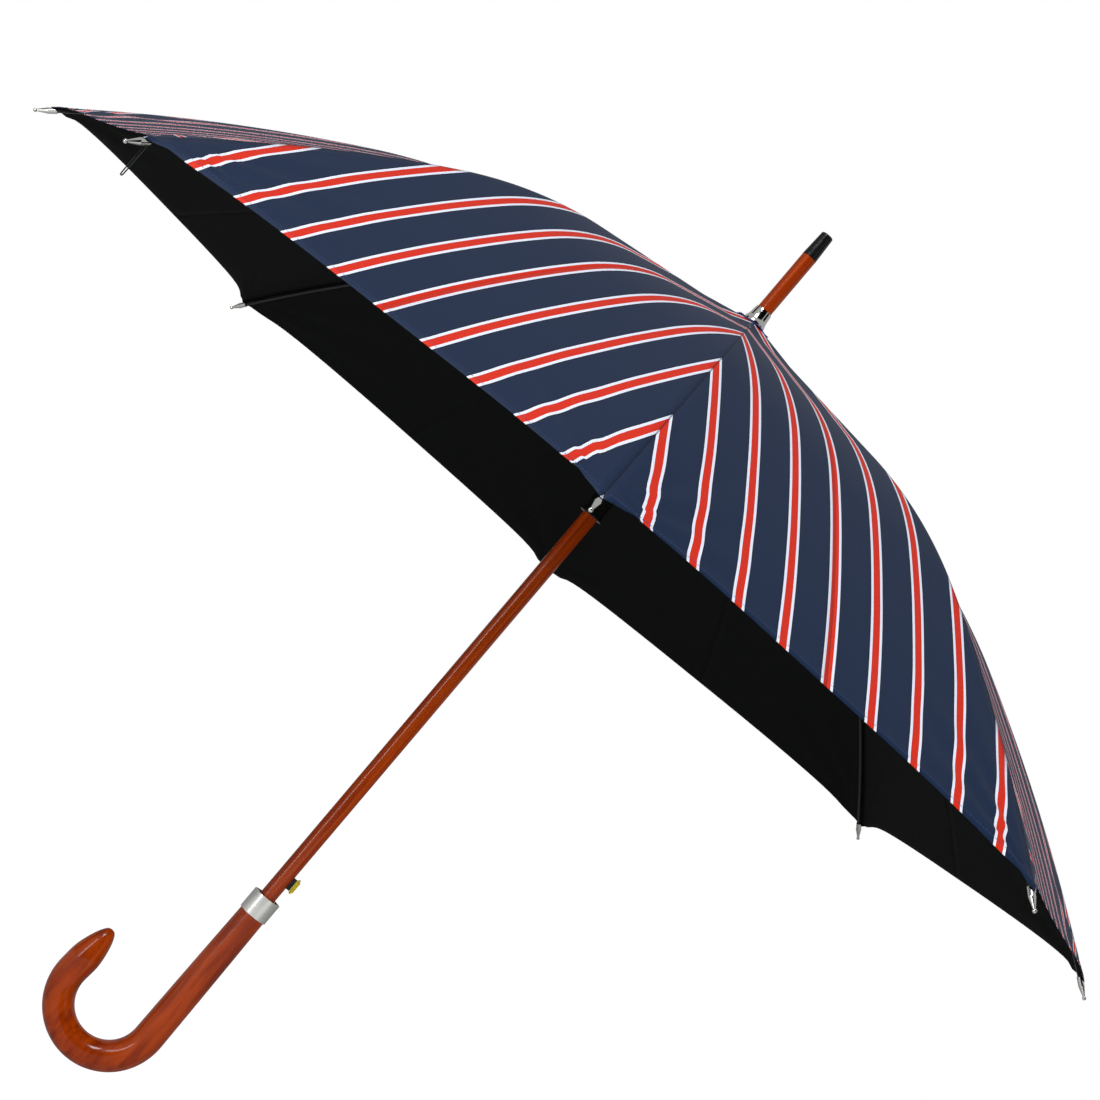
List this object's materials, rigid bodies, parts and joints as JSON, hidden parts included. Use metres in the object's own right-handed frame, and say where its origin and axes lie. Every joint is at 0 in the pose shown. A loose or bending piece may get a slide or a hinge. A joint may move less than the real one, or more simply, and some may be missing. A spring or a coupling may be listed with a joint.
{
  "type": "stick umbrella",
  "caption": "Open automatic stick umbrella with a striped cover, wooden shaft and crook handle; the frame folds down along the shaft.",
  "frame": {"origin": "on the shaft's axis at the middle of the grip, where a hand holds it", "axes": "+Z along the shaft towards the ferrule; the crook hooks round towards -X; the push button faces +X"},
  "size_m": [1.111, 1.111, 0.8979],
  "materials": {
    "wood": "lacquered, reddish brown",
    "chrome": "polished",
    "black_steel": "satin black",
    "black_plastic": "glossy",
    "brass": "polished",
    "cover": "woven polyester, striped",
    "rosette_cloth": "pinked edge",
    "spring_steel": "bare",
    "elastic": "matt"
  },
  "bodies": {
    "stick": {"shaft": "wood", "handle": "wood", "handle_collar": "chrome", "crown": "black_plastic", "crown_wire": "spring_steel", "ferrule_cap": "chrome", "rosette": "rosette_cloth", "ferrule": "wood", "ferrule_tip": "black_plastic", "spring_seat": "black_plastic", "latch_spring": "spring_steel", "mainspring": "spring_steel"},
    "button": {"button": "brass", "button_stem": "black_plastic"},
    "runner": {"runner": "black_plastic", "runner_wire": "spring_steel", "plunger": "black_plastic", "drive_pin": "spring_steel"},
    "rib_1_body": {"rib_1": "black_steel", "rib_tip_1": "chrome", "panel_1_left": "cover", "panel_1_right": "cover"},
    "stretcher_1_body": {"stretcher_1": "black_steel"},
    "rib_2_body": {"rib_2": "black_steel", "rib_tip_2": "chrome", "panel_2_left": "cover", "panel_2_right": "cover"},
    "stretcher_2_body": {"stretcher_2": "black_steel"},
    "rib_3_body": {"rib_3": "black_steel", "rib_tip_3": "chrome", "panel_3_left": "cover", "panel_3_right": "cover"},
    "stretcher_3_body": {"stretcher_3": "black_steel"},
    "rib_4_body": {"rib_4": "black_steel", "rib_tip_4": "chrome", "panel_4_left": "cover", "panel_4_right": "cover"},
    "stretcher_4_body": {"stretcher_4": "black_steel"},
    "rib_5_body": {"rib_5": "black_steel", "rib_tip_5": "chrome", "panel_5_left": "cover", "panel_5_right": "cover"},
    "stretcher_5_body": {"stretcher_5": "black_steel"},
    "rib_6_body": {"rib_6": "black_steel", "rib_tip_6": "chrome", "panel_6_left": "cover", "panel_6_right": "cover", "tie_loop": "elastic"},
    "stretcher_6_body": {"stretcher_6": "black_steel"},
    "rib_7_body": {"rib_7": "black_steel", "rib_tip_7": "chrome", "panel_7_left": "cover", "panel_7_right": "cover"},
    "stretcher_7_body": {"stretcher_7": "black_steel"},
    "rib_8_body": {"rib_8": "black_steel", "rib_tip_8": "chrome", "panel_8_left": "cover", "panel_8_right": "cover"},
    "stretcher_8_body": {"stretcher_8": "black_steel"}
  },
  "joints": [
    {"name": "fold", "type": "hinge", "parent": "stick", "child": "rib_1_body", "pos_m": [0.0092, 0, 0.684], "axis": [0, 1, 0], "range_deg": [0, 62], "stiffness_Nm_per_rad": 4, "springref_deg": -34.38, "deforming": ["panel_1_left", "panel_1_right", "mainspring"]},
    {"name": "stretcher_1_hinge", "type": "hinge", "parent": "rib_1_body", "child": "stretcher_1_body", "pos_m": [0.24008, 0, 0.63342], "axis": [0, 1, 0], "range_deg": [-124, 0]},
    {"name": "rib_2_hinge", "type": "hinge", "parent": "stick", "child": "rib_2_body", "pos_m": [0.00651, 0.00651, 0.684], "axis": [-0.7071, 0.7071, 0], "range_deg": [0, 62], "deforming": ["panel_2_left", "panel_2_right"]},
    {"name": "stretcher_2_hinge", "type": "hinge", "parent": "rib_2_body", "child": "stretcher_2_body", "pos_m": [0.16976, 0.16976, 0.63342], "axis": [-0.7071, 0.7071, 0], "range_deg": [-124, 0]},
    {"name": "rib_3_hinge", "type": "hinge", "parent": "stick", "child": "rib_3_body", "pos_m": [0, 0.0092, 0.684], "axis": [-1, 0, 0], "range_deg": [0, 62], "deforming": ["panel_3_left", "panel_3_right"]},
    {"name": "stretcher_3_hinge", "type": "hinge", "parent": "rib_3_body", "child": "stretcher_3_body", "pos_m": [0, 0.24008, 0.63342], "axis": [-1, 0, 0], "range_deg": [-124, 0]},
    {"name": "rib_4_hinge", "type": "hinge", "parent": "stick", "child": "rib_4_body", "pos_m": [-0.00651, 0.00651, 0.684], "axis": [-0.7071, -0.7071, 0], "range_deg": [0, 62], "deforming": ["panel_4_left", "panel_4_right"]},
    {"name": "stretcher_4_hinge", "type": "hinge", "parent": "rib_4_body", "child": "stretcher_4_body", "pos_m": [-0.16976, 0.16976, 0.63342], "axis": [-0.7071, -0.7071, 0], "range_deg": [-124, 0]},
    {"name": "rib_5_hinge", "type": "hinge", "parent": "stick", "child": "rib_5_body", "pos_m": [-0.0092, 0, 0.684], "axis": [0, -1, 0], "range_deg": [0, 62], "deforming": ["panel_5_left", "panel_5_right"]},
    {"name": "stretcher_5_hinge", "type": "hinge", "parent": "rib_5_body", "child": "stretcher_5_body", "pos_m": [-0.24008, 0, 0.63342], "axis": [0, -1, 0], "range_deg": [-124, 0]},
    {"name": "rib_6_hinge", "type": "hinge", "parent": "stick", "child": "rib_6_body", "pos_m": [-0.00651, -0.00651, 0.684], "axis": [0.7071, -0.7071, 0], "range_deg": [0, 62], "deforming": ["panel_6_left", "panel_6_right"]},
    {"name": "stretcher_6_hinge", "type": "hinge", "parent": "rib_6_body", "child": "stretcher_6_body", "pos_m": [-0.16976, -0.16976, 0.63342], "axis": [0.7071, -0.7071, 0], "range_deg": [-124, 0]},
    {"name": "rib_7_hinge", "type": "hinge", "parent": "stick", "child": "rib_7_body", "pos_m": [0, -0.0092, 0.684], "axis": [1, 0, 0], "range_deg": [0, 62], "deforming": ["panel_7_left", "panel_7_right"]},
    {"name": "stretcher_7_hinge", "type": "hinge", "parent": "rib_7_body", "child": "stretcher_7_body", "pos_m": [0, -0.24008, 0.63342], "axis": [1, 0, 0], "range_deg": [-124, 0]},
    {"name": "rib_8_hinge", "type": "hinge", "parent": "stick", "child": "rib_8_body", "pos_m": [0.00651, -0.00651, 0.684], "axis": [0.7071, 0.7071, 0], "range_deg": [0, 62], "deforming": ["panel_8_left", "panel_8_right"]},
    {"name": "stretcher_8_hinge", "type": "hinge", "parent": "rib_8_body", "child": "stretcher_8_body", "pos_m": [0.16976, -0.16976, 0.63342], "axis": [0.7071, 0.7071, 0], "range_deg": [-124, 0]},
    {"name": "runner_hinge", "type": "hinge", "parent": "stretcher_1_body", "child": "runner", "pos_m": [0.0092, 0, 0.58283], "axis": [0, 1, 0], "range_deg": [0, 62]},
    {"name": "button_press", "type": "slide", "parent": "stick", "child": "button", "axis": [-1, 0, 0], "range_m": [0, 0.0025], "stiffness_N_per_m": 600, "springref_m": -0.002, "deforming": ["latch_spring"]}
  ],
  "couplings": [
    {"joint": "stretcher_1_hinge", "follows": "fold", "ratio": -2},
    {"joint": "rib_2_hinge", "follows": "fold", "ratio": 1},
    {"joint": "stretcher_2_hinge", "follows": "fold", "ratio": -2},
    {"joint": "rib_3_hinge", "follows": "fold", "ratio": 1},
    {"joint": "stretcher_3_hinge", "follows": "fold", "ratio": -2},
    {"joint": "rib_4_hinge", "follows": "fold", "ratio": 1},
    {"joint": "stretcher_4_hinge", "follows": "fold", "ratio": -2},
    {"joint": "rib_5_hinge", "follows": "fold", "ratio": 1},
    {"joint": "stretcher_5_hinge", "follows": "fold", "ratio": -2},
    {"joint": "rib_6_hinge", "follows": "fold", "ratio": 1},
    {"joint": "stretcher_6_hinge", "follows": "fold", "ratio": -2},
    {"joint": "rib_7_hinge", "follows": "fold", "ratio": 1},
    {"joint": "stretcher_7_hinge", "follows": "fold", "ratio": -2},
    {"joint": "rib_8_hinge", "follows": "fold", "ratio": 1},
    {"joint": "stretcher_8_hinge", "follows": "fold", "ratio": -2},
    {"joint": "runner_hinge", "follows": "fold", "ratio": 1}
  ]
}
